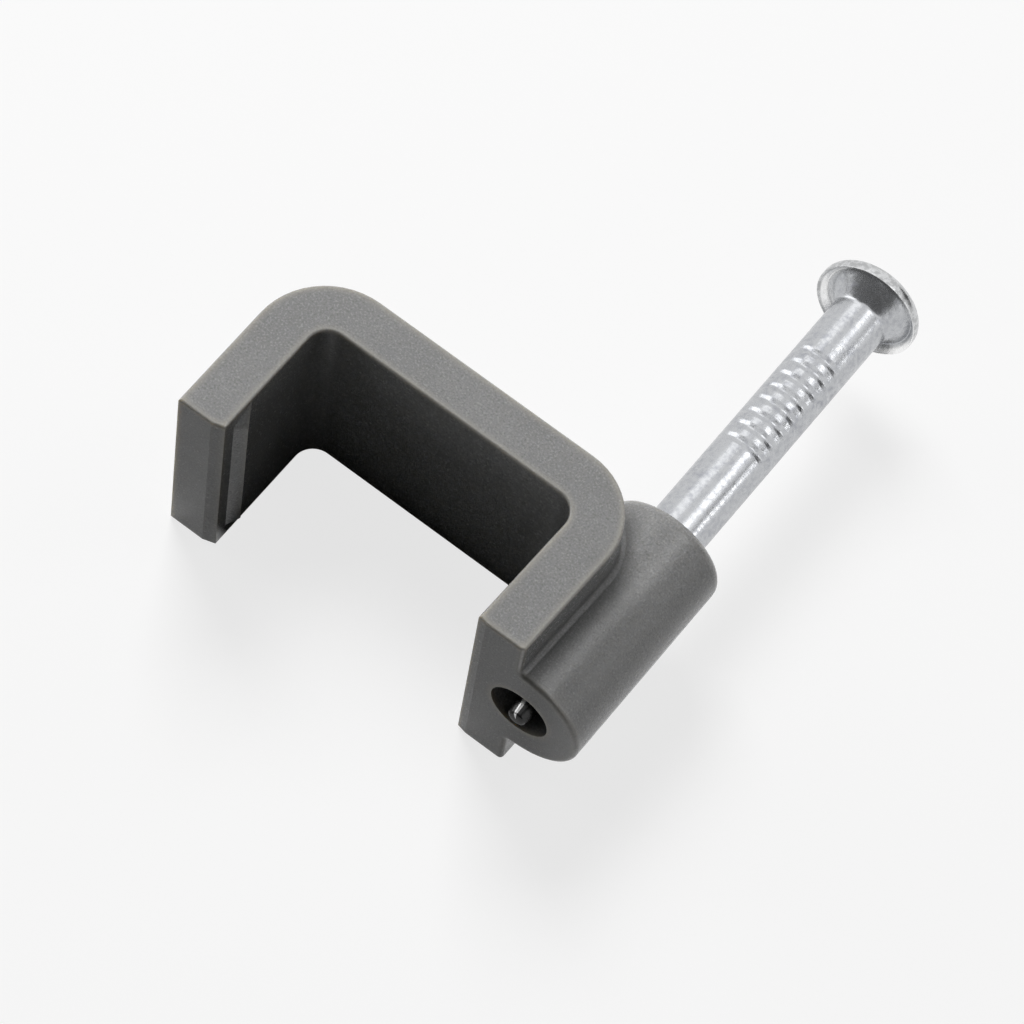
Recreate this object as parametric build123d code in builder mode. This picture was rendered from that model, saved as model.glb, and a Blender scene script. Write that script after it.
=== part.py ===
from build123d import *
import os

# Nail-in clip for flat cable: a moulded C-shaped clip and the masonry nail held in its boss.
# The wall is the plane Y = 0 and +Y points away from it. The cable runs along Z.
# The origin is on the nail's axis, in the wall plane, at half the clip's depth.

# Channel and walls, millimetres
channel_width = 10.0
channel_height = 5.0
clip_depth = 8.0
free_leg_wall = 1.73
nail_leg_wall = 1.77
nail_leg_lean = 0.12
bar_wall = 1.7
free_corner_radius = 2.65
nail_corner_radius = 2.47
inner_corner_radius = 0.73
edge_round = 0.09

# Bevels on the inner corners of the two feet, along X and along Y
free_foot_bevel_x = 0.44
free_foot_bevel_y = 0.14
nail_foot_bevel_x = 0.33
nail_foot_bevel_y = 0.07

# Ridge inside the free leg that keeps the cable in until the nail is driven
lip_height = 0.28
lip_start = 0.6
lip_crest = 1.0
lip_end = 1.45
lip_inset = 0.15
lip_run_out = 0.5
lip_run_out_slant = 0.65

# Boss on the nail leg: its outer side is straight and its inner side leans
boss_reach = 2.36
boss_foot_radius = 2.34
boss_top_radius = 2.09
boss_rise = 0.93
boss_top_round = 0.4
boss_foot_round = 0.15
valley_round = 0.2

# Nail shank, point and ring grooves
shank_radius = 1.0
shank_length = 18.975
nail_standoff = 0.21
tip_proud = 0.26
point_length = 3.2
point_end_radius = 0.3
point_end_bevel = 0.1
ring_count = 8
ring_pitch = 0.581
ring_first = 11.86
ring_width = 0.26
ring_cut = 0.05

# Nail head: a shallow dome, dished underneath, upset a little off centre and out of square
head_radius = 1.83
head_rim = 0.26
head_dome = 0.72
head_edge_bevel = 0.04
crown_side = 0.4
crown_top = 1.0
dish_radius = 1.57
dish_rise = 0.3
underside_rise = 0.16
neck_radius = 1.15
neck_drop = 0.6
neck_flare = 0.04
head_shift = 0.06
head_lean_about_x = -7.7
head_lean_about_z = 2.6

# Running fit of the nail, which lies nearly against the outer side of the bore
bore_slack = 0.08
bore_side_gap = 0.01

# Places and lengths worked out from the sizes
leg_face = -nail_standoff
leg_foot = leg_face - nail_leg_lean
channel_right = leg_face - nail_leg_wall
channel_foot = channel_right - nail_leg_lean
channel_left = channel_right - channel_width
free_face = channel_left - free_leg_wall
bar_face = channel_height + bar_wall
half_depth = clip_depth / 2
slant_length = (1 + lip_run_out_slant**2) ** 0.5
boss_height = bar_face + boss_rise
boss_foot_x = leg_face + boss_reach - boss_foot_radius
boss_top_x = leg_face + boss_reach - boss_top_radius
bore_radius = shank_radius + bore_slack
bore_x = bore_side_gap - bore_slack
rim_y = shank_length - tip_proud
neck_y = rim_y - neck_drop
dish_y = dish_rise - head_rim
underside_y = dish_y - underside_rise

os.makedirs("parts", exist_ok=True)


def nearest_corner(x, y):
    """The corner of the sketch being drawn that lies nearest to a point."""
    return vertices().sort_by_distance((x, y))[0]


# Clip body
with BuildPart() as clip_body:
    # Outside of the C, seen along the cable
    with BuildSketch(Plane.XY.offset(-half_depth)):
        with BuildLine():
            Polyline((free_face, 0), (leg_foot, 0), (leg_face, bar_face), (free_face, bar_face), close=True)
        make_face()
        fillet(nearest_corner(free_face, bar_face), free_corner_radius)
        fillet(nearest_corner(leg_face, bar_face), nail_corner_radius)
    extrude(amount=clip_depth)

    # Boss, lofted from its foot to its top, with rounds in the valley beside the leg and at its foot
    with BuildSketch(Plane.XZ):
        with Locations((boss_foot_x, 0)):
            Circle(boss_foot_radius)
    with BuildSketch(Plane.XZ.offset(-boss_height)):
        with Locations((boss_top_x, 0)):
            Circle(boss_top_radius)
    loft()
    valley = edges(Select.NEW).filter_by(lambda edge: 0 < round(edge.center().Y, 3) < boss_height)
    fillet(valley, valley_round)
    foot = edges().group_by(Axis.Y)[0].filter_by(lambda edge: edge.center().X > leg_face + valley_round)
    fillet(foot, boss_foot_round)

    # Channel for the cable, widened by the bevels at the feet
    with BuildSketch(Plane.XY.offset(-half_depth)):
        with BuildLine():
            Polyline(
                (channel_left - free_foot_bevel_x, 0),
                (channel_left, free_foot_bevel_y),
                (channel_left, channel_height),
                (channel_right, channel_height),
                (channel_foot, nail_foot_bevel_y),
                (channel_foot + nail_foot_bevel_x, 0),
                close=True,
            )
        make_face()
        fillet(nearest_corner(channel_left, channel_height), inner_corner_radius)
        fillet(nearest_corner(channel_right, channel_height), inner_corner_radius)
    extrude(amount=clip_depth, mode=Mode.SUBTRACT)

    # Rounds on the two C-shaped faces
    for end in (Axis.Z, -Axis.Z):
        fillet(faces().filter_by(Axis.Z).sort_by(end)[-1].edges(), edge_round)

    # Round on the boss's top rim
    fillet(edges().group_by(Axis.Y)[-1], boss_top_round)

    # Bore for the nail
    with BuildSketch(Plane.XZ):
        with Locations((bore_x, 0)):
            Circle(bore_radius)
    extrude(amount=-boss_height, mode=Mode.SUBTRACT)

    # Ridge along the free leg, cut away at both ends by a slanted slope
    with BuildSketch(Plane.XY.offset(lip_inset - half_depth)):
        with BuildLine():
            Polyline(
                (channel_left, lip_start),
                (channel_left + lip_height, lip_crest),
                (channel_left, lip_end),
                close=True,
            )
        make_face()
    extrude(amount=clip_depth - 2 * lip_inset)
    for side in (-1, 1):
        slope_foot = side * (half_depth - lip_inset - lip_run_out_slant * lip_end)
        with BuildSketch(Plane.XZ):
            with BuildLine():
                Polyline(
                    (channel_left, slope_foot),
                    (channel_left + lip_height, slope_foot - side * lip_run_out),
                    (channel_left + lip_height, side * half_depth),
                    (channel_left, side * half_depth),
                    close=True,
                )
            make_face()
        extrude(amount=lip_end * slant_length, dir=(0, 1, side * lip_run_out_slant), mode=Mode.SUBTRACT)

clip_body.part.label = "clip_body"
export_step(clip_body.part, "parts/clip_body.step")

# Masonry nail
with BuildPart() as masonry_nail:
    # Shank with its ring grooves and a blunt point, turned about the nail's axis
    with BuildSketch(Plane.XY):
        with BuildLine():
            Polyline(
                (0, neck_y),
                (0, -tip_proud),
                (point_end_radius - point_end_bevel, -tip_proud),
                (point_end_radius, point_end_bevel - tip_proud),
                (shank_radius, point_length - tip_proud),
                (shank_radius, ring_first - tip_proud - ring_width / 2),
            )
            for ring in range(ring_count):
                ring_y = ring_first - tip_proud + ring * ring_pitch
                last = ring == ring_count - 1
                land_end = neck_y if last else ring_y + ring_pitch - ring_width / 2
                Polyline(
                    (shank_radius, ring_y - ring_width / 2),
                    (shank_radius - ring_cut, ring_y),
                    (shank_radius, ring_y + ring_width / 2),
                    (shank_radius, land_end),
                )
            Line((shank_radius, neck_y), (0, neck_y))
        make_face()
    revolve(axis=Axis.Y)

    # Neck, lofted from the shank to the cone under the leaning head
    neck_plane = Plane((0, neck_y, 0), x_dir=(1, 0, 0), z_dir=(0, 1, 0))
    half_way = (-head_shift / 2, (neck_y + rim_y + underside_y) / 2, 0)
    half_plane = Plane(half_way, x_dir=(1, 0, 0), z_dir=(0, 1, 0))
    half_plane = half_plane.rotated((head_lean_about_x / 2, 0, head_lean_about_z / 2))
    head_plane = Plane((-head_shift, rim_y, 0), x_dir=(1, 0, 0), z_dir=(0, 1, 0))
    head_plane = head_plane.rotated((head_lean_about_x, 0, head_lean_about_z))
    with BuildSketch(neck_plane):
        Circle(shank_radius)
    with BuildSketch(half_plane):
        Circle(shank_radius + neck_flare)
    with BuildSketch(head_plane.offset(underside_y)):
        Circle(neck_radius)
    loft()

    # Head with its coned underside, turned about its own axis
    head_section = Plane(head_plane.origin, x_dir=head_plane.x_dir, z_dir=-head_plane.y_dir)
    with BuildSketch(head_section):
        with BuildLine():
            Polyline(
                (0, head_dome),
                (0, underside_y),
                (neck_radius, underside_y),
                (dish_radius, dish_y),
                (head_radius - head_edge_bevel, -head_rim),
                (head_radius, head_edge_bevel - head_rim),
                (head_radius, 0),
            )
            Bezier((head_radius, 0), (head_radius, crown_side), (crown_top, head_dome), (0, head_dome))
        make_face()
    revolve(axis=Axis(head_section.origin, head_section.y_dir))

masonry_nail.part.label = "masonry_nail"
export_step(masonry_nail.part, "parts/masonry_nail.step")
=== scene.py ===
"""Nail-in clip for flat cable: the finish of the moulded clip, the steel nail and the studio around them.

Every length is in metres in the part's own frame. The wall is the plane Y = 0, +Y points away from it
and the cable runs along Z. The origin is where the nail's axis crosses the wall plane.
"""

import math

import bmesh
import bpy
from bpy.props import FloatProperty, FloatVectorProperty, IntProperty, PointerProperty
from bpy.types import Operator, Panel, PropertyGroup
from mathutils import Matrix, Vector
from mathutils.geometry import interpolate_bezier


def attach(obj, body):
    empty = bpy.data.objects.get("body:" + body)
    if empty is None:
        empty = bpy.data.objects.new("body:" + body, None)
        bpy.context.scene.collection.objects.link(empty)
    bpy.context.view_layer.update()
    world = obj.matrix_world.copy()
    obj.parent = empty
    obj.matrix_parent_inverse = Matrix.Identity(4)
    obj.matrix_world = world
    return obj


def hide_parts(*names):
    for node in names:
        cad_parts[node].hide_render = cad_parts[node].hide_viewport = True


bl_info = {
    "name": "Nail-in cable clip",
    "version": (1, 0, 0),
    "blender": (4, 5, 0),
    "location": "View3D > Sidebar > Cable clip",
    "description": "Dresses a nail-in cable clip and makes its masonry nail",
    "category": "Object",
}

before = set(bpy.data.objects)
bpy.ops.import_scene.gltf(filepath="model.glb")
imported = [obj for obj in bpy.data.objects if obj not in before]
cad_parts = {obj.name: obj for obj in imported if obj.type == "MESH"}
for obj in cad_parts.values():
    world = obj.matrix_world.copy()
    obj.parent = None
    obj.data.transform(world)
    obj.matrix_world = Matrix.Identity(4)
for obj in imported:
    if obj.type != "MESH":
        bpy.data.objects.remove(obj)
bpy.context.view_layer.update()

MM = 0.001
TAU = 2 * math.pi

# Sizes of the patterns in the plastic, how finely they are drawn, and how crisp the grain is
CLOUD_SIZE = 1.6 * MM
SPECKLE_SIZE = 0.07 * MM
PLASTIC_DETAIL = 3.0
SPECKLE_DETAIL = 1.5
GRAIN_CRISPNESS = 0.7
# Levels of a pattern where a tone starts and is full, and tones as shares of the plastic's colour
CLOUD_LEVELS = (0.35, 0.65)
CLOUD_TONES = (0.95, 1.05)
PALE_SPECKLE_LEVELS = (0.55, 0.74)
PALE_SPECKLE_TONE = 1.5
DARK_SPECKLE_LEVELS = (0.44, 0.28)
DARK_SPECKLE_TONE = 0.72
# Painted shade: share of the plastic's colour left in the hollows and inner corners
HOLLOW_SHADE_TONE = 0.2
# How open the surface is where the painted pale rims, which stand in for light glowing through the edges, and
# the painted shade in the hollows start and are full
RIM_LIGHT_LEVELS = (0.95, 0.45)
HOLLOW_SHADE_LEVELS = (0.82, 0.52)
OPENNESS_SAMPLES = 6
# Levels of the grain, how much smoother and rougher it makes the surface, and the hollows' roughness
GRAIN_LEVELS = (0.3, 0.7)
GRAIN_SMOOTHER = 0.06
GRAIN_ROUGHER = 0.08
HOLLOW_ROUGHNESS = 0.9

# Sizes of the patterns in the zinc plating, how finely and crisply they are drawn, and the streaks' stretch
STREAK_SIZE = 0.12 * MM
STREAK_STRETCH = (1, 16, 1)
MOTTLE_SIZE = 0.17 * MM
MOTTLE_CRISPNESS = 0.55
PLATING_GRAIN_SIZE = 0.06 * MM
PATCH_SIZE = 0.8 * MM
PATCH_DETAIL = 1.0
# Levels of the mottle and the patches where the plating turns dull, and how dull the patches leave it
DULL_LEVELS = (0.4, 0.68)
PATCH_LEVELS = (0.3, 0.7)
PATCH_SHARES = (0.25, 1.0)
MOTTLE_LEVELS = (0.3, 0.7)
STEEL_ROUGHNESS = (0.2, 0.32)
# Where the mottle leaves the lip brighter, and how bright
WORN_LEVELS = (0.42, 0.6)
WORN_TONE = 1.4
# Half the width of the seam between the dish and the lip
LIP_SEAM = 0.04 * MM
# Distances outwards from the dish and inwards from the rim where the painted highlight on the lip's wall
# starts and is full
HIGHLIGHT_FROM_DISH = (0.03 * MM, 0.09 * MM)
HIGHLIGHT_FROM_RIM = (0.04 * MM, 0.08 * MM)
# How far the lip's wall has to face down the nail to get the painted highlight
HIGHLIGHT_FACING = (-0.35, -0.55)
# Angles from the point's painted highlight streak where it starts and is full, and the height over which the
# painted shade on the point ends
TIP_HIGHLIGHT_SIDES = (0.2, 0.12)
TIP_SHADE_FADE = 0.3 * MM

# Distances from a corner of the nail to the loop that keeps the face beside it flat
HOLD = 0.06 * MM
POINT_HOLD = 0.5 * MM
# Corners along the curves of the neck and the crown
NECK_CORNERS = 9
CROWN_CORNERS = 14
# Width and steps of each rounding on the nail
GROOVE_ROUND = (0.05 * MM, 3)
LAND_ROUND = (0.03 * MM, 2)
NECK_ROUND = (0.05 * MM, 3)
TIP_ROUND = (0.08 * MM, 4)
POINT_ROUND = (0.4 * MM, 4)
DISH_ROUND = (0.03 * MM, 3)
RIM_ROUND = (0.08 * MM, 4)
# Cosine of the angle from the gripped sides where a groove ends and where it is full
GROOVE_FADE = (0.1, 0.6)
# Distance below which two corners count as one
SAME_PLACE = 1e-7

# Colours of the floor and of what glows white
WHITE = (0.95, 0.95, 0.95)
DARK = (0.02, 0.02, 0.02)
PURE_WHITE = (1, 1, 1)
# How far the floor reaches to each side, and half the side of a square of one metre
FLOOR_REACH = 1.5
HALF_METRE = 0.5
# Areas of the floor in millimetres: left, right, front and back, and how far their soft edges reach
BOUNCE_CARD = (-12.3, -5.5, -3, 7.5)
GLOSS_CARD = (-12.4, -3.4, 0.5, 7)
FRONT_CARD = (-30, 1, -30, 0)
FAR_CARD = (-400, -45, -400, 5)
CARD_EDGE = (0.92, 1.08)
# Shares of the floor's white that the front and far areas still mirror
FRONT_SHARE = 0.32
FAR_SHARE = 0.15
# Name, watts, width and height in metres, azimuth, elevation, if the metal mirrors it, if for the nail only
LAMPS = (
    ("key_lamp", 0.5, 0.11, 0.11, 138, 52, False, False),
    ("key_card", 0.03, 0.13, 0.11, 141, 49, True, False),
    ("streak_card", 0.036, 0.085, 0.07, 46, 56, True, False),
    ("back_lamp", 0.065, 0.12, 0.1, 38, 10, False, False),
    ("low_lamp", 0.11, 0.11, 0.22, 184, 20, True, False),
    ("thin_streak_card", 0.01, 0.022, 0.03, 26, 20, True, True),
)
# Name, level, width and height in metres, azimuth and elevation
DARK_CARDS = (
    ("dark_card_high", 0.01, 0.04, 0.035, 29, 32),
    ("dark_card_low", 0.01, 0.13, 0.13, 57, 5),
    ("dark_card_front", 0.14, 0.2, 0.34, 229, 34),
    ("dark_card_front_middle", 0.1, 0.2, 0.34, 268, 34),
    ("dark_card_front_right", 0.1, 0.2, 0.34, 307, 34),
)
# How far the lamps and cards stand from the point that they face
LAMP_DISTANCE = 0.25
LIT_POINT = Vector((-5, 6, 0)) * MM

# The photograph's camera: sensor and lens in millimetres, place, directions and nearest and farthest sight
SENSOR_WIDTH = 36.0
LENS = 178.098
CAMERA_PLACE = Vector((29.196, -59.656, 141.350)) * MM
CAMERA_RIGHT = Vector((0.79188525, 0.60407422, 0.08951024))
CAMERA_DOWN = Vector((0.57298657, -0.68430135, -0.4510189))
CAMERA_FORWARD = Vector((-0.21119691, 0.40844338, -0.88801456))
SIGHT_START = 0.01
SIGHT_END = 10.0


# Settings


class CABLECLIP_PG_body(PropertyGroup):
    """Colour and grain of the moulded clip"""

    colour: FloatVectorProperty(
        name="Colour", description="Colour of the moulded plastic", subtype="COLOR",
        size=3, min=0, max=1, default=(0.262, 0.262, 0.26))
    glow_colour: FloatVectorProperty(
        name="Glow colour", description="How far light spreads inside the plastic, by colour",
        subtype="COLOR", size=3, min=0, max=1, default=(1.0, 0.9, 0.7))
    glow: FloatProperty(
        name="Glow", description="Share of the light that enters the plastic and leaves it near by",
        min=0, max=1, default=0.6)
    glow_reach: FloatProperty(
        name="Glow reach", description="How far that light travels", unit="LENGTH", min=0,
        default=0.35 * MM)
    roughness: FloatProperty(
        name="Roughness", description="Roughness of the matte surface", min=0, max=1, default=0.22)
    gloss: FloatProperty(
        name="Gloss", description="Strength of the surface's reflections", min=0, max=1, default=0.75)
    grain_size: FloatProperty(
        name="Grain size", description="Size of the surface's grain", unit="LENGTH", min=1e-6,
        default=0.11 * MM)
    grain_depth: FloatProperty(
        name="Grain depth", description="Depth of the surface's grain", unit="LENGTH", min=0,
        default=0.009 * MM)
    speckle_depth: FloatProperty(
        name="Speckle depth", description="Depth of the finest speckle", unit="LENGTH", min=0,
        default=0.006 * MM)
    # Painted light: the pale warm rims stand in for light glowing through the plastic's thin edges
    painted_rim_light_colour: FloatVectorProperty(
        name="Rim colour", description="Colour of the paler, worn rims", subtype="COLOR",
        size=3, min=0, max=1, default=(0.46, 0.435, 0.38))
    # Painted light: how far from an edge the pale rim light is painted
    painted_rim_light_width: FloatProperty(
        name="Rim width", description="How far from an edge the plastic looks paler", unit="LENGTH",
        min=0, default=0.3 * MM)
    # Painted shade: how far from an inner corner the plastic's colour is darkened
    painted_shade_reach: FloatProperty(
        name="Hollow reach", description="How far from an inner corner the plastic looks darker",
        unit="LENGTH", min=0, default=1.5 * MM)


class CABLECLIP_PG_nail(PropertyGroup):
    """Sizes and colours of the masonry nail"""

    shank_radius: FloatProperty(
        name="Shank radius", description="Radius of the plain shank", unit="LENGTH", min=0, default=1.0 * MM)
    tip_proud: FloatProperty(
        name="Tip", description="How far the blunt point stands beyond the wall plane", unit="LENGTH",
        default=0.26 * MM)
    tip_radius: FloatProperty(
        name="Tip radius", description="Radius of the point's blunt end", unit="LENGTH", min=0,
        default=0.3 * MM)
    point_length: FloatProperty(
        name="Point length", description="Length of the tapered point", unit="LENGTH", min=0,
        default=3.2 * MM)
    ring_count: IntProperty(
        name="Rings", description="Number of ring grooves", min=1, default=8)
    ring_first: FloatProperty(
        name="First ring", description="Height of the first ring groove above the wall plane", unit="LENGTH",
        default=11.6 * MM)
    grip_side: FloatProperty(
        name="Grip side", description="Side on which the gripping die pressed the rings deepest",
        subtype="ANGLE", unit="ROTATION", default=math.radians(76))
    ring_pitch: FloatProperty(
        name="Ring pitch", description="Distance between ring grooves", unit="LENGTH", min=0,
        default=0.581 * MM)
    ring_width: FloatProperty(
        name="Ring width", description="Width of a ring groove", unit="LENGTH", min=0, default=0.34 * MM)
    ring_depth: FloatProperty(
        name="Ring depth", description="Depth of a ring groove", unit="LENGTH", min=0, default=0.062 * MM)
    neck_height: FloatProperty(
        name="Neck height", description="Where the shank starts to widen into the head", unit="LENGTH",
        default=18.115 * MM)
    rim_height: FloatProperty(
        name="Rim height", description="Height of the head's rim, where its dome starts", unit="LENGTH",
        default=18.715 * MM)
    head_radius: FloatProperty(
        name="Head radius", description="Radius of the head", unit="LENGTH", min=0, default=1.83 * MM)
    head_rim: FloatProperty(
        name="Rim", description="Height of the head's straight rim", unit="LENGTH", min=0, default=0.26 * MM)
    head_dome: FloatProperty(
        name="Dome", description="Height of the head's dome above its rim", unit="LENGTH", min=0,
        default=0.72 * MM)
    dish_radius: FloatProperty(
        name="Dish radius", description="Radius of the dish under the head", unit="LENGTH", min=0,
        default=1.57 * MM)
    dish_rise: FloatProperty(
        name="Dish rise", description="Depth of the dish under the head", unit="LENGTH", min=0,
        default=0.3 * MM)
    neck_sag: FloatProperty(
        name="Neck sag", description="How far the cone under the head is hollowed", unit="LENGTH", min=0,
        default=0.03 * MM)
    head_shift: FloatProperty(
        name="Head shift", description="How far the head is upset off the shank's axis", unit="LENGTH",
        default=0.06 * MM)
    lean_about_x: FloatProperty(
        name="Lean about X", description="Lean of the head about X", subtype="ANGLE", unit="ROTATION",
        default=math.radians(-7.7))
    lean_about_z: FloatProperty(
        name="Lean about Z", description="Lean of the head about Z", subtype="ANGLE", unit="ROTATION",
        default=math.radians(2.6))
    crown_side: FloatProperty(
        name="Crown side", description="How far the crown keeps upright above the rim", unit="LENGTH", min=0,
        default=0.4 * MM)
    crown_top: FloatProperty(
        name="Crown top", description="Radius inside which the crown turns flat", unit="LENGTH", min=0,
        default=1.0 * MM)
    steps: IntProperty(
        name="Steps", description="Faces round the nail", min=16, default=144)
    colour: FloatVectorProperty(
        name="Colour", description="Colour of the zinc-plated steel", subtype="COLOR",
        size=3, min=0, max=1, default=(0.52, 0.53, 0.545))
    dull_colour: FloatVectorProperty(
        name="Dull colour", description="Colour of the duller patches of the plating", subtype="COLOR",
        size=3, min=0, max=1, default=(0.38, 0.39, 0.42))
    # Painted shade: the point, deep in the clip's bore, is painted dark
    tip_shade_colour: FloatVectorProperty(
        name="Tip colour", description="Colour of the dark, cut point", subtype="COLOR",
        size=3, min=0, max=1, default=(0.04, 0.04, 0.04))
    # Painted highlight: a bright streak painted along one side of the point
    tip_highlight_side: FloatProperty(
        name="Tip streak", description="Side of the point that is cut bright", subtype="ANGLE",
        unit="ROTATION", default=math.radians(102))
    # Painted shade: height at which the point's painted dark ends
    tip_shade_end: FloatProperty(
        name="Tip end", description="Height at which the dark point ends", unit="LENGTH", default=1.0 * MM)
    # Painted highlight: near white, standing in for the bright reflections on the lip's inner wall and along
    # the point
    painted_highlight_colour: FloatVectorProperty(
        name="Lip wall colour", description="Colour of the bright wall inside the head's lip",
        subtype="COLOR", size=3, min=0, max=1, default=(0.98, 0.98, 0.98))
    lip_colour: FloatVectorProperty(
        name="Lip colour", description="Colour of the head's lip, polished by handling", subtype="COLOR",
        size=3, min=0, max=1, default=(0.46, 0.465, 0.47))
    grain_depth: FloatProperty(
        name="Grain depth", description="Depth of the plating's fine grain", unit="LENGTH", min=0,
        default=0.001 * MM)
    mottle_depth: FloatProperty(
        name="Mottle depth", description="Depth of the plating's mottled surface", unit="LENGTH", min=0,
        default=0.0035 * MM)
    ring_mottle_depth: FloatProperty(
        name="Ring mottle depth", description="Depth of the mottled surface between the rings", unit="LENGTH",
        min=0, default=0.012 * MM)
    streak_depth: FloatProperty(
        name="Streak depth", description="Depth of the drawn wire's streaks", unit="LENGTH", min=0,
        default=0.003 * MM)


class CABLECLIP_PG_studio(PropertyGroup):
    """Floor, lamps and background"""

    floor_drop: FloatProperty(
        name="Floor", description="How far the floor lies below the origin", unit="LENGTH", min=0,
        default=4.0 * MM)
    floor_colour: FloatVectorProperty(
        name="Floor colour", description="Colour that the floor throws back on the part", subtype="COLOR",
        size=3, min=0, max=1, default=(0.42, 0.42, 0.42))
    shadow: FloatProperty(
        name="Shadow", description="Strength of the shadow on the white floor", min=0, max=1, default=0.24)
    light: FloatProperty(
        name="Light", description="Level of all the lamps", min=0, default=1.0)
    fill: FloatProperty(
        name="Fill light", description="Level of the light from all round", min=0, default=0.01)


# Node helpers


def new_tree(owner, output_kind):
    """The node tree of a material or world, emptied, with its output's surface socket"""
    owner.use_nodes = True
    owner.node_tree.nodes.clear()
    return owner.node_tree, owner.node_tree.nodes.new(output_kind).inputs["Surface"]


def new_material(name):
    """A new material with its node tree and its shader, linked to the output"""
    material = bpy.data.materials.new(name)
    tree, surface = new_tree(material, "ShaderNodeOutputMaterial")
    shader = tree.nodes.new("ShaderNodeBsdfPrincipled")
    tree.links.new(shader.outputs["BSDF"], surface)
    return material, tree, shader


def feed(tree, socket, value):
    """Links an input to another node's output, or sets its own value"""
    if isinstance(value, bpy.types.NodeSocket):
        tree.links.new(value, socket)
    elif socket.type == "RGBA":
        socket.default_value = (*value, 1.0)
    else:
        socket.default_value = value


def add_node(tree, kind, settings=None, **inputs):
    """Adds a node, sets its own settings, then feeds its inputs by name"""
    node = tree.nodes.new(kind)
    for key, value in (settings or {}).items():
        setattr(node, key, value)
    for key, value in inputs.items():
        feed(tree, node.inputs[key.replace("_", " ")], value)
    return node


def noise_on(tree, place, size, detail=2.0, roughness=0.5, stretch=(1, 1, 1)):
    """Noise of one feature size in metres, stretched along chosen axes"""
    mapping = add_node(tree, "ShaderNodeMapping", Vector=place)
    mapping.inputs["Scale"].default_value = [1 / (size * s) for s in stretch]
    return add_node(tree, "ShaderNodeTexNoise", Vector=mapping.outputs["Vector"], Scale=1.0, Detail=detail,
                    Roughness=roughness).outputs["Fac"]


def spread(tree, value, low, high, to_low=0.0, to_high=1.0):
    """A value's range mapped to another range"""
    node = add_node(tree, "ShaderNodeMapRange", {"clamp": True}, Value=value, From_Min=low, From_Max=high,
                    To_Min=to_low, To_Max=to_high)
    return node.outputs["Result"]


def math_node(tree, operation, *values):
    """One value, or two put together, by one operation"""
    node = add_node(tree, "ShaderNodeMath", {"operation": operation})
    for socket, value in zip(node.inputs, values):
        feed(tree, socket, value)
    return node.outputs["Value"]


def blend_colours(tree, share, first, second):
    """Two colours mixed by a share"""
    node = add_node(tree, "ShaderNodeMix", {"data_type": "RGBA"})
    for socket, value in ((node.inputs[0], share), (node.inputs[6], first), (node.inputs[7], second)):
        feed(tree, socket, value)
    return node.outputs[2]


def openness(tree, reach, inside):
    """How open the surface is within a reach, on its outer side or inside the plastic"""
    node = add_node(tree, "ShaderNodeAmbientOcclusion",
                    {"inside": inside, "only_local": True, "samples": OPENNESS_SAMPLES}, Distance=reach)
    return node.outputs["AO"]


def bumped(tree, height, depth, **under):
    """The normal bent by a pattern of one depth, over another bent normal where one is given"""
    node = add_node(tree, "ShaderNodeBump", Height=height, Strength=1.0, Distance=depth, **under)
    return node.outputs["Normal"]


# Moulded clip


def moulded_plastic(look):
    """Matte moulded plastic: speckled grain, painted pale warm rims that stand in for light glowing through
    the edges, painted shade in the hollows, and light that spreads inside
    """
    material, tree, shader = new_material("moulded_grey_plastic")
    place = tree.nodes.new("ShaderNodeTexCoord").outputs["Object"]
    grain = noise_on(tree, place, look.grain_size, detail=PLASTIC_DETAIL, roughness=GRAIN_CRISPNESS)
    cloud = noise_on(tree, place, CLOUD_SIZE, detail=PLASTIC_DETAIL)
    speckle = noise_on(tree, place, SPECKLE_SIZE, detail=SPECKLE_DETAIL)
    # Painted light: pale warm rims where the plastic is thin near its edges, standing in for light glowing
    # through them
    rim = spread(tree, openness(tree, look.painted_rim_light_width, True), *RIM_LIGHT_LEVELS)
    # Painted shade: darker colour in the hollows and inner corners, where little light falls
    painted_hollow_shade = spread(tree, openness(tree, look.painted_shade_reach, False), *HOLLOW_SHADE_LEVELS)
    colour = Vector(look.colour)
    base = blend_colours(tree, spread(tree, cloud, *CLOUD_LEVELS), *(colour * tone for tone in CLOUD_TONES))
    base = blend_colours(tree, spread(tree, speckle, *PALE_SPECKLE_LEVELS), base, colour * PALE_SPECKLE_TONE)
    base = blend_colours(tree, spread(tree, speckle, *DARK_SPECKLE_LEVELS), base, colour * DARK_SPECKLE_TONE)
    base = blend_colours(tree, rim, base, look.painted_rim_light_colour)
    base = blend_colours(tree, painted_hollow_shade, base, colour * HOLLOW_SHADE_TONE)
    tree.links.new(base, shader.inputs["Base Color"])
    smoothest, roughest = look.roughness - GRAIN_SMOOTHER, look.roughness + GRAIN_ROUGHER
    matte = spread(tree, grain, *GRAIN_LEVELS, smoothest, roughest)
    # The painted shade's mask also makes the hollows rougher
    matte = math_node(tree, "MAXIMUM", matte, math_node(tree, "MULTIPLY", painted_hollow_shade, HOLLOW_ROUGHNESS))
    tree.links.new(matte, shader.inputs["Roughness"])
    fine = bumped(tree, speckle, look.speckle_depth)
    tree.links.new(bumped(tree, grain, look.grain_depth, Normal=fine), shader.inputs["Normal"])
    shader.inputs["Specular IOR Level"].default_value = look.gloss
    shader.inputs["Subsurface Weight"].default_value = look.glow
    shader.inputs["Subsurface Radius"].default_value = look.glow_colour
    shader.inputs["Subsurface Scale"].default_value = look.glow_reach
    return material


class CABLECLIP_OT_finish_body(Operator):
    """Give the moulded clip its matte grained plastic"""

    bl_idname = "cable_clip.finish_body"
    bl_label = "Finish clip body"

    def execute(self, context):
        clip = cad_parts["clip_body"]
        plastic = moulded_plastic(context.scene.cable_clip_body)
        for slot in clip.material_slots:
            slot.material = plastic
        return {"FINISHED"}


# Masonry nail


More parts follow.
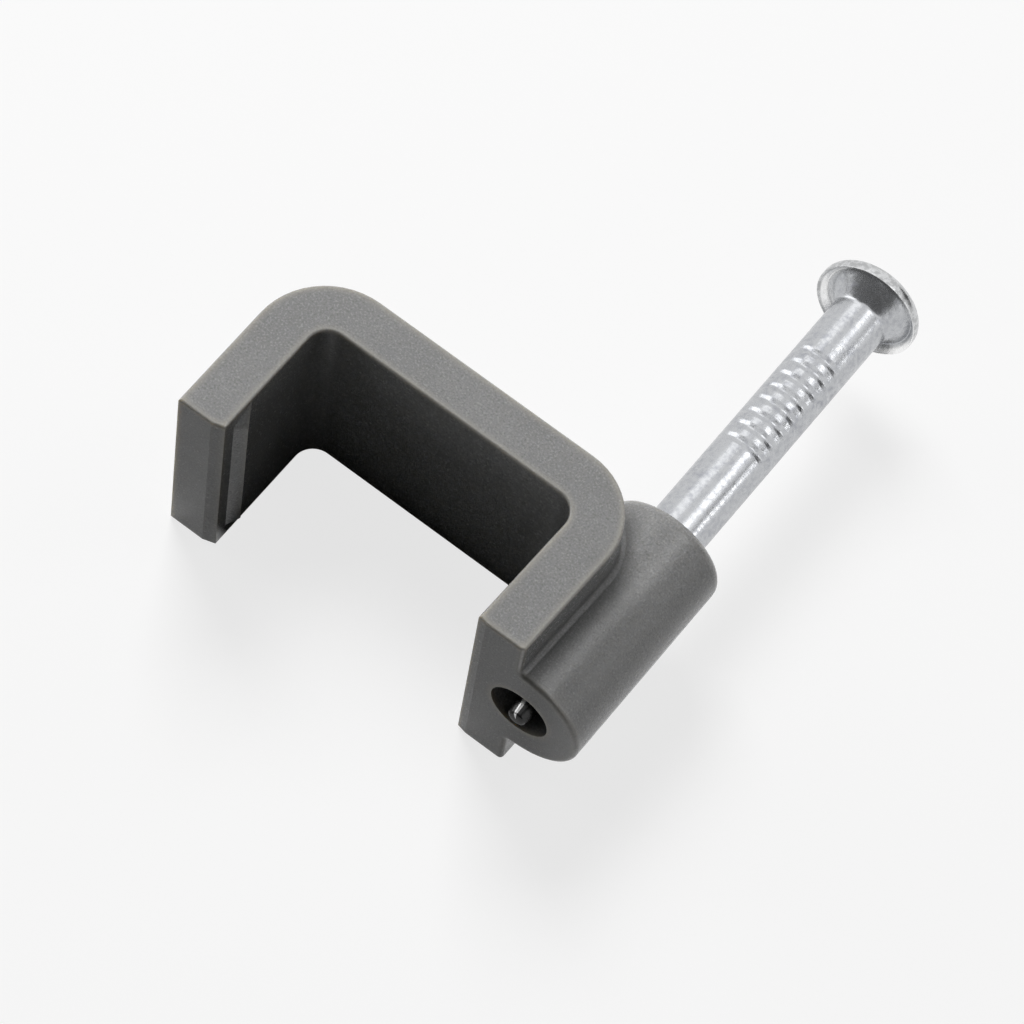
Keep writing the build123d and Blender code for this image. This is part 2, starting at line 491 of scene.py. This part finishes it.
def distance_from_axis(tree, place):
    """How far a place lies from the nail's axis"""
    flat = add_node(tree, "ShaderNodeVectorMath", {"operation": "MULTIPLY"}, Vector=place)
    flat.inputs[1].default_value = (1, 0, 1)
    length = add_node(tree, "ShaderNodeVectorMath", {"operation": "LENGTH"}, Vector=flat.outputs["Vector"])
    return length.outputs["Value"]


def polished_lip_with_painted_highlight(tree, look, plating, mottle, radius, facing):
    """The plating's colour with the head's lip polished, and a painted highlight, near white, on the wall
    inside it
    """
    lip = spread(tree, radius, look.dish_radius - LIP_SEAM, look.dish_radius + LIP_SEAM)
    polish = Vector(look.lip_colour)
    worn = blend_colours(tree, spread(tree, mottle, *WORN_LEVELS), polish, polish * WORN_TONE)
    plating = blend_colours(tree, lip, plating, worn)
    outside = spread(tree, radius, *(look.dish_radius + reach for reach in HIGHLIGHT_FROM_DISH))
    within = spread(tree, radius, *(look.head_radius - reach for reach in HIGHLIGHT_FROM_RIM))
    # Painted highlight: the lip's inner wall, facing down the nail, is painted near white in place of its
    # reflection
    wall = math_node(tree, "MULTIPLY", outside, spread(tree, facing, *HIGHLIGHT_FACING))
    return blend_colours(tree, math_node(tree, "MULTIPLY", wall, within), plating, look.painted_highlight_colour)


def shaded_point_with_highlight(tree, look, plating, sides):
    """The plating's colour with the point painted dark as shade, and a painted highlight streak on one side
    """
    turned = math_node(tree, "ARCTAN2", sides["Z"], sides["X"])
    away = math_node(tree, "ABSOLUTE", math_node(tree, "SUBTRACT", turned, look.tip_highlight_side))
    # Painted shade on the point, with a painted highlight streak along one side
    cut = blend_colours(tree, spread(tree, away, *TIP_HIGHLIGHT_SIDES), look.tip_shade_colour, look.painted_highlight_colour)
    tip = spread(tree, sides["Y"], look.tip_shade_end, look.tip_shade_end - TIP_SHADE_FADE)
    return blend_colours(tree, tip, plating, cut)


def zinc_steel(look):
    """Zinc plating over drawn wire: streaks, duller patches, a polished lip with a painted highlight on its
    inner wall, and a point with painted shade and a painted highlight streak
    """
    material, tree, shader = new_material("zinc_plated_steel")
    coordinates = tree.nodes.new("ShaderNodeTexCoord").outputs
    place = coordinates["Object"]
    streaks = noise_on(tree, place, STREAK_SIZE, stretch=STREAK_STRETCH)
    mottle = noise_on(tree, place, MOTTLE_SIZE, roughness=MOTTLE_CRISPNESS)
    grain = noise_on(tree, place, PLATING_GRAIN_SIZE)
    patches = noise_on(tree, place, PATCH_SIZE, detail=PATCH_DETAIL)
    sides = add_node(tree, "ShaderNodeSeparateXYZ", Vector=place).outputs
    facing = add_node(tree, "ShaderNodeSeparateXYZ", Vector=coordinates["Normal"]).outputs["Y"]
    dull = math_node(tree, "MULTIPLY", spread(tree, mottle, *DULL_LEVELS),
                     spread(tree, patches, *PATCH_LEVELS, *PATCH_SHARES))
    plating = blend_colours(tree, dull, look.colour, look.dull_colour)
    plating = polished_lip_with_painted_highlight(tree, look, plating, mottle, distance_from_axis(tree, place), facing)
    tree.links.new(shaded_point_with_highlight(tree, look, plating, sides), shader.inputs["Base Color"])
    tree.links.new(spread(tree, mottle, *MOTTLE_LEVELS, *STEEL_ROUGHNESS), shader.inputs["Roughness"])
    rings_end = look.ring_first + look.ring_count * look.ring_pitch
    rolled = math_node(tree, "MULTIPLY",
                       spread(tree, sides["Y"], look.ring_first - look.ring_pitch, look.ring_first),
                       spread(tree, sides["Y"], rings_end + look.ring_pitch, rings_end))
    fine = bumped(tree, grain, look.grain_depth)
    depth = spread(tree, rolled, 0, 1, look.mottle_depth, look.ring_mottle_depth)
    coarse = bumped(tree, mottle, depth, Normal=fine)
    drawn = bumped(tree, streaks, look.streak_depth, Normal=coarse)
    tree.links.new(drawn, shader.inputs["Normal"])
    shader.inputs["Metallic"].default_value = 1.0
    return material


def ring_heights(size):
    """Heights of the ring grooves' middles above the wall plane"""
    return [size.ring_first + ring * size.ring_pitch for ring in range(size.ring_count)]


def dish_height(size):
    """Height of the dish's edge under the head"""
    return size.rim_height + size.dish_rise - size.head_rim


def curve_points(corners, count):
    """Points along a cubic curve given by its end points and their handles, each a radius and a height"""
    return [tuple(point) for point in interpolate_bezier(*(Vector(corner) for corner in corners), count)]


def nail_outline(size):
    """Radius and height of each corner from the tip to the top of the head"""
    shank, half_ring = size.shank_radius, size.ring_width / 2
    corners = [(0, -size.tip_proud), (size.tip_radius, -size.tip_proud),
               (shank, size.point_length - size.tip_proud), (shank, size.point_length + POINT_HOLD)]
    for height in ring_heights(size):
        corners += [(shank, height - half_ring - HOLD), (shank, height - half_ring),
                    (shank - size.ring_depth, height),
                    (shank, height + half_ring), (shank, height + half_ring + HOLD)]
    corners.append((shank, size.neck_height - 2 * HOLD))
    dish = dish_height(size)
    third = ((shank * 2 + size.dish_radius) / 3, (size.neck_height * 2 + dish) / 3 + size.neck_sag)
    two_thirds = ((shank + size.dish_radius * 2) / 3, (size.neck_height + dish * 2) / 3 + size.neck_sag)
    neck = [(shank, size.neck_height), third, two_thirds, (size.dish_radius, dish)]
    corners += curve_points(neck, NECK_CORNERS)
    corners.append((size.head_radius, size.rim_height - size.head_rim))
    top = size.rim_height + size.head_dome
    crown = [(size.head_radius, size.rim_height), (size.head_radius, size.rim_height + size.crown_side),
             (size.crown_top, top), (0, top)]
    corners += curve_points(crown, CROWN_CORNERS)
    return corners


def loop_edges(bm, radius, height):
    """Edges that run round the nail at one radius and height"""
    def on_loop(vert):
        off_height = abs(vert.co.y - height)
        return off_height < SAME_PLACE and abs(math.hypot(vert.co.x, vert.co.z) - radius) < SAME_PLACE
    return [edge for edge in bm.edges if all(on_loop(vert) for vert in edge.verts)]


def round_loops(bm, loops, width, segments):
    """Rounds edges that run round the nail"""
    edges = [edge for radius, height in loops for edge in loop_edges(bm, radius, height)]
    bmesh.ops.bevel(bm, geom=edges, offset=width, offset_type="OFFSET", segments=segments, profile=0.5,
                    affect="EDGES", material=-1, clamp_overlap=True)


def fade_rings(bm, size):
    """Fades the ring grooves out between the two sides that the gripping dies pressed"""
    end, full = GROOVE_FADE
    for vert in bm.verts:
        radius = math.hypot(vert.co.x, vert.co.z)
        in_rings = size.ring_first - size.ring_pitch < vert.co.y < size.neck_height - size.ring_pitch
        if in_rings and radius < size.shank_radius:
            facing = abs(math.cos(math.atan2(vert.co.z, vert.co.x) - size.grip_side))
            share = min(max((facing - end) / (full - end), 0.0), 1.0)
            wider = size.shank_radius - (size.shank_radius - radius) * share
            vert.co.x *= wider / radius
            vert.co.z *= wider / radius


def lean_head(bm, size):
    """Leans and shifts the head, with the neck following by degrees"""
    neck_rise = dish_height(size) - size.neck_height
    lean = Matrix.Rotation(size.lean_about_z, 3, "Z") @ Matrix.Rotation(size.lean_about_x, 3, "X")
    upright, leaning = Matrix.Identity(3).to_quaternion(), lean.to_quaternion()
    for vert in bm.verts:
        if vert.co.y <= size.neck_height:
            continue
        share = 1.0
        if math.hypot(vert.co.x, vert.co.z) < size.dish_radius - LIP_SEAM:
            share = min((vert.co.y - size.neck_height) / neck_rise, 1.0)
        pivot = Vector((0, (1 - share) * vert.co.y + share * size.rim_height, 0))
        turn = upright.slerp(leaning, share)
        vert.co = turn @ (vert.co - pivot) + pivot - Vector((size.head_shift * share, 0, 0))


def make_object(name, bm, material):
    """A finished mesh object at the origin, with smooth faces"""
    mesh = bpy.data.meshes.new(name)
    bm.to_mesh(mesh)
    bm.free()
    mesh.materials.append(material)
    mesh.shade_smooth()
    thing = bpy.data.objects.new(name, mesh)
    bpy.context.scene.collection.objects.link(thing)
    return thing


class CABLECLIP_OT_make_nail(Operator):
    """Spin the masonry nail with its point, ring grooves, neck and leaning head"""

    bl_idname = "cable_clip.make_nail"
    bl_label = "Make nail"

    def execute(self, context):
        size = context.scene.cable_clip_nail
        bm = bmesh.new()
        corners = [bm.verts.new((radius, height, 0)) for radius, height in nail_outline(size)]
        for first, second in zip(corners, corners[1:]):
            bm.edges.new((first, second))
        bmesh.ops.spin(bm, geom=bm.verts[:] + bm.edges[:], cent=(0, 0, 0), axis=(0, 1, 0), dvec=(0, 0, 0),
                       angle=TAU, steps=size.steps, use_merge=True, use_duplicate=False)
        bmesh.ops.remove_doubles(bm, verts=bm.verts[:], dist=SAME_PLACE)
        bmesh.ops.recalc_face_normals(bm, faces=bm.faces[:])
        shank, half_ring = size.shank_radius, size.ring_width / 2
        heights = ring_heights(size)
        lands = [(shank, height + side * half_ring) for height in heights for side in (-1, 1)]
        round_loops(bm, [(shank - size.ring_depth, height) for height in heights], *GROOVE_ROUND)
        round_loops(bm, lands, *LAND_ROUND)
        round_loops(bm, [(shank, size.neck_height)], *NECK_ROUND)
        round_loops(bm, [(size.tip_radius, -size.tip_proud)], *TIP_ROUND)
        round_loops(bm, [(shank, size.point_length - size.tip_proud)], *POINT_ROUND)
        round_loops(bm, [(size.dish_radius, dish_height(size))], *DISH_ROUND)
        round_loops(bm, [(size.head_radius, size.rim_height - size.head_rim)], *RIM_ROUND)
        fade_rings(bm, size)
        lean_head(bm, size)
        nail = make_object("ringed_nail", bm, zinc_steel(size))
        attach(nail, "nail")
        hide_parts("masonry_nail")
        return {"FINISHED"}


# Studio


def seen_directly(tree):
    """One for camera, glossy and transmission rays, and nought for the light that falls on the part"""
    rays = tree.nodes.new("ShaderNodeLightPath").outputs
    mirrored = math_node(tree, "MAXIMUM", rays["Is Camera Ray"], rays["Is Glossy Ray"])
    return math_node(tree, "MAXIMUM", mirrored, rays["Is Transmission Ray"])


def outside_card(tree, place, card):
    """Nought on an area of the floor and one away from it, with a soft edge"""
    left, right, front, back = (side * MM for side in card)
    width, depth = right - left, back - front
    mapping = add_node(tree, "ShaderNodeMapping", Vector=place)
    mapping.inputs["Scale"].default_value = (2 / width, 2 / depth, 1)
    mapping.inputs["Location"].default_value = (-(left + right) / width, -(front + back) / depth, 0)
    away = add_node(tree, "ShaderNodeVectorMath", {"operation": "ABSOLUTE"}, Vector=mapping.outputs["Vector"])
    sides = add_node(tree, "ShaderNodeSeparateXYZ", Vector=away.outputs["Vector"]).outputs
    return spread(tree, math_node(tree, "MAXIMUM", sides["X"], sides["Y"]), *CARD_EDGE)


def white_floor(look):
    """A floor that shows white with a pale shadow, throws grey light, and is mirrored with darker areas"""
    material = bpy.data.materials.new("studio_floor")
    tree, surface = new_tree(material, "ShaderNodeOutputMaterial")
    rays = tree.nodes.new("ShaderNodeLightPath").outputs
    place = tree.nodes.new("ShaderNodeTexCoord").outputs["Object"]
    thrown = blend_colours(tree, outside_card(tree, place, BOUNCE_CARD), DARK, look.floor_colour)
    mirrored = outside_card(tree, place, GLOSS_CARD)
    for card, share in ((FRONT_CARD, FRONT_SHARE), (FAR_CARD, FAR_SHARE)):
        mirrored = math_node(tree, "MINIMUM", mirrored,
                             spread(tree, outside_card(tree, place, card), 0, 1, share, 1))
    shown = blend_colours(tree, rays["Is Glossy Ray"], thrown, blend_colours(tree, mirrored, DARK, WHITE))
    shown = blend_colours(tree, rays["Is Camera Ray"], shown, WHITE)
    matte = add_node(tree, "ShaderNodeBsdfDiffuse", Color=shown)
    white = add_node(tree, "ShaderNodeEmission", Color=PURE_WHITE, Strength=1.0)
    shine = math_node(tree, "MULTIPLY", rays["Is Glossy Ray"], mirrored)
    seen = math_node(tree, "MAXIMUM", rays["Is Camera Ray"], shine)
    mixed = add_node(tree, "ShaderNodeMixShader", Fac=math_node(tree, "MULTIPLY", seen, 1 - look.shadow))
    tree.links.new(matte.outputs["BSDF"], mixed.inputs[1])
    tree.links.new(white.outputs["Emission"], mixed.inputs[2])
    tree.links.new(mixed.outputs["Shader"], surface)
    return material


def set_world(fill):
    """White to the camera and in reflections, and a soft even light on the part"""
    world = bpy.data.worlds.new("studio")
    bpy.context.scene.world = world
    tree, surface = new_tree(world, "ShaderNodeOutputWorld")
    level = spread(tree, seen_directly(tree), 0, 1, fill, 1)
    sky = add_node(tree, "ShaderNodeBackground", Color=PURE_WHITE, Strength=level)
    tree.links.new(sky.outputs["Background"], surface)


def around_the_part(azimuth, elevation):
    """A place at the lamps' distance from the part, by its azimuth about Z and its elevation in degrees"""
    around, up = math.radians(azimuth), math.radians(elevation)
    direction = Vector((math.cos(around) * math.cos(up), math.sin(around) * math.cos(up), math.sin(up)))
    return LIT_POINT + direction * LAMP_DISTANCE


def towards_the_part(place):
    """The turn that points -Z from a place at the part"""
    return (LIT_POINT - place).to_track_quat("-Z", "Y")


def add_lamp(name, power, width, height, azimuth, elevation, seen_in_gloss, lit=None):
    """A soft rectangular lamp that faces the part, and lights everything or one collection only"""
    light = bpy.data.lights.new(name, "AREA")
    light.energy = power
    light.shape = "RECTANGLE"
    light.size = width
    light.size_y = height
    lamp = bpy.data.objects.new(name, light)
    lamp.visible_glossy = seen_in_gloss
    lamp.light_linking.receiver_collection = lit
    lamp.location = around_the_part(azimuth, elevation)
    lamp.rotation_euler = towards_the_part(lamp.location).to_euler()
    bpy.context.scene.collection.objects.link(lamp)


def add_dark_card(name, level, width, height, azimuth, elevation):
    """A card of a set level that only the metal and the gloss mirror"""
    material, tree, shader = new_material(name)
    feed(tree, shader.inputs["Base Color"], (0, 0, 0))
    feed(tree, shader.inputs["Emission Color"], PURE_WHITE)
    shader.inputs["Emission Strength"].default_value = level
    bm = bmesh.new()
    bmesh.ops.create_grid(bm, x_segments=1, y_segments=1, size=HALF_METRE)
    bmesh.ops.scale(bm, verts=bm.verts[:], vec=(width, height, 1))
    place = around_the_part(azimuth, elevation)
    facing = towards_the_part(place).to_matrix().to_4x4()
    bmesh.ops.transform(bm, verts=bm.verts[:], matrix=Matrix.Translation(place) @ facing)
    card = make_object(name, bm, material)
    card.visible_camera = False
    card.visible_diffuse = False
    card.visible_shadow = False


def set_camera():
    """The photograph's view"""
    data = bpy.data.cameras.new("photo_camera")
    data.sensor_width = SENSOR_WIDTH
    data.lens = LENS
    data.clip_start = SIGHT_START
    data.clip_end = SIGHT_END
    camera = bpy.data.objects.new("photo_camera", data)
    bpy.context.scene.collection.objects.link(camera)
    turn = Matrix((CAMERA_RIGHT, -CAMERA_DOWN, -CAMERA_FORWARD)).transposed()
    camera.matrix_world = Matrix.Translation(CAMERA_PLACE) @ turn.to_4x4()
    bpy.context.scene.camera = camera


class CABLECLIP_OT_set_stage(Operator):
    """Set the pale floor, the soft lamps, the dark cards, the white background and the camera"""

    bl_idname = "cable_clip.set_stage"
    bl_label = "Set stage"

    def execute(self, context):
        look = context.scene.cable_clip_studio
        bm = bmesh.new()
        bmesh.ops.create_grid(bm, x_segments=1, y_segments=1, size=FLOOR_REACH)
        bmesh.ops.translate(bm, verts=bm.verts[:], vec=(0, 0, -look.floor_drop))
        floor = make_object("studio_floor", bm, white_floor(look))
        steel = bpy.data.collections.new("lit_steel")
        steel.objects.link(bpy.data.objects["ringed_nail"])
        for name, power, *place, nail_only in LAMPS:
            add_lamp(name, power * look.light, *place, lit=steel if nail_only else None)
        for card in DARK_CARDS:
            add_dark_card(*card)
        set_world(look.fill)
        set_camera()
        context.scene.view_settings.view_transform = "Standard"
        return {"FINISHED"}


# Panel and start


class CABLECLIP_PT_panel(Panel):
    """Lists the steps that make the clip and its studio"""

    bl_idname = "CABLECLIP_PT_panel"
    bl_label = "Cable clip"
    bl_space_type = "VIEW_3D"
    bl_region_type = "UI"
    bl_category = "Cable clip"

    def draw(self, context):
        scene = context.scene
        for settings, operator in SETTINGS_AND_STEPS:
            box = self.layout.box()
            group = getattr(scene, settings)
            for name in group.bl_rna.properties.keys():
                if name not in ("rna_type", "name"):
                    box.prop(group, name)
            box.operator(operator)


SETTINGS_AND_STEPS = (
    ("cable_clip_body", "cable_clip.finish_body"),
    ("cable_clip_nail", "cable_clip.make_nail"),
    ("cable_clip_studio", "cable_clip.set_stage"),
)
SETTINGS = (CABLECLIP_PG_body, CABLECLIP_PG_nail, CABLECLIP_PG_studio)
CLASSES = SETTINGS + (
    CABLECLIP_OT_finish_body, CABLECLIP_OT_make_nail, CABLECLIP_OT_set_stage, CABLECLIP_PT_panel)


def register():
    for each in CLASSES:
        bpy.utils.register_class(each)
    for (name, _), group in zip(SETTINGS_AND_STEPS, SETTINGS):
        setattr(bpy.types.Scene, name, PointerProperty(type=group))


def unregister():
    for name, _ in SETTINGS_AND_STEPS:
        delattr(bpy.types.Scene, name)
    for each in reversed(CLASSES):
        bpy.utils.unregister_class(each)


def main():
    register()
    bpy.ops.cable_clip.finish_body()
    bpy.ops.cable_clip.make_nail()
    bpy.ops.cable_clip.set_stage()


if __name__ == "__main__":
    main()
